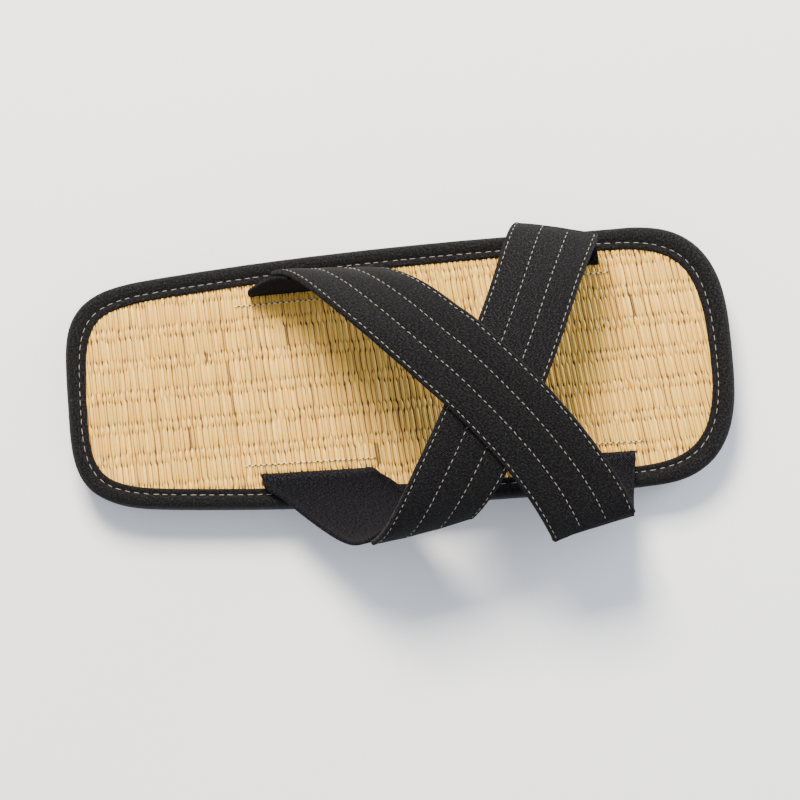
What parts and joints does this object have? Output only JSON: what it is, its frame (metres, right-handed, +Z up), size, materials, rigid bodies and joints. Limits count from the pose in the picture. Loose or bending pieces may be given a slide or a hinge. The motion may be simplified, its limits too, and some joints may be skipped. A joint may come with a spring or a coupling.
{
  "type": "zori sandal",
  "caption": "Flat slip-on sandal with a woven rush footbed, cloth edge binding, rubber sole and crossed padded straps on elastic gussets.",
  "frame": {"origin": "on the floor, under the middle of the sole's length and width", "axes": "+X toward the toe, +Y toward the sandal's left side, +Z up"},
  "size_m": [0.27, 0.13, 0.0723],
  "materials": {
    "sole_rubber": "matte black rubber",
    "woven_rush": "natural woven rush over foam, satin",
    "binding_tape": "matte black cloth tape with a pale stitch row",
    "strap_twill": "matte charcoal cloth, padded, with four pale stitch rows",
    "gusset_elastic": "matte blue-black elastic webbing"
  },
  "bodies": {
    "root": {"outsole": "sole_rubber", "insole_mat": "woven_rush", "edge_binding": "binding_tape", "straps": "strap_twill", "gusset_rear_left": "gusset_elastic", "gusset_rear_right": "gusset_elastic", "gusset_front_left": "gusset_elastic", "gusset_front_right": "gusset_elastic"}
  },
  "joints": []
}
